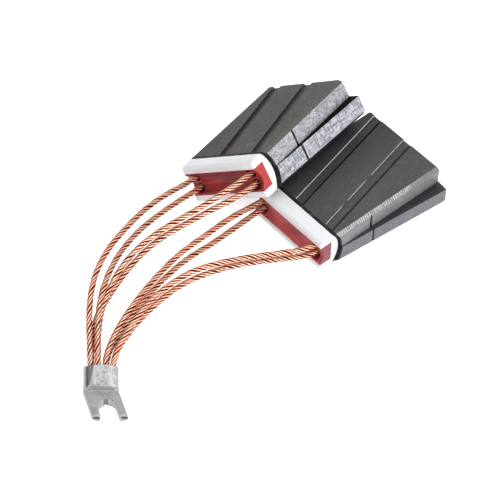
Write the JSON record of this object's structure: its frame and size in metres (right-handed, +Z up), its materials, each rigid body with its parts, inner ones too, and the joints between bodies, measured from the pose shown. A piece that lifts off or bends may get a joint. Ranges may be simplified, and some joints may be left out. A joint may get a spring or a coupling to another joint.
{
  "type": "traction carbon brush",
  "caption": "Split carbon brushes under rubber-filled pressure pads, wired by bare copper flexibles to one shared tubular fork terminal.",
  "frame": {"origin": "on the table below the middle of the box around the two brushes, flexibles and terminal left out", "axes": "+Z up from the table, +Y along the flat brush from its head towards its rubbing end, +X across it towards its outer side"},
  "size_m": [0.0852, 0.1751, 0.0382],
  "materials": {
    "carbon_a": "matte, warm grey, sawn",
    "carbon_b": "matte, dark grey, sawn",
    "cushion": "matte, brown black",
    "shell": "satin white",
    "insert": "satin coral red",
    "tamped_copper": "matte tamped copper powder",
    "copper_rope": "bare stranded copper",
    "tinned_terminal": "dull tin plate on copper"
  },
  "bodies": {
    "root": {"brush_a_wafer_upper": "carbon_a", "brush_a_wafer_lower": "carbon_a", "brush_a_cushion": "cushion", "brush_a_shell": "shell", "brush_a_insert": "insert", "brush_a_plug_1": "tamped_copper", "brush_a_plug_2": "tamped_copper", "brush_a_plug_3": "tamped_copper", "brush_a_plug_4": "tamped_copper", "brush_b_wafer_upper": "carbon_b", "brush_b_wafer_lower": "carbon_b", "brush_b_cushion": "cushion", "brush_b_shell": "shell", "brush_b_insert": "insert", "brush_b_plug_1": "tamped_copper", "brush_b_plug_2": "tamped_copper", "brush_b_plug_3": "tamped_copper", "brush_b_plug_4": "tamped_copper", "terminal": "tinned_terminal", "flexible_a_1": "copper_rope", "flexible_a_2": "copper_rope", "flexible_a_3": "copper_rope", "flexible_a_4": "copper_rope", "flexible_b_1": "copper_rope", "flexible_b_2": "copper_rope", "flexible_b_3": "copper_rope", "flexible_b_4": "copper_rope"}
  },
  "joints": []
}
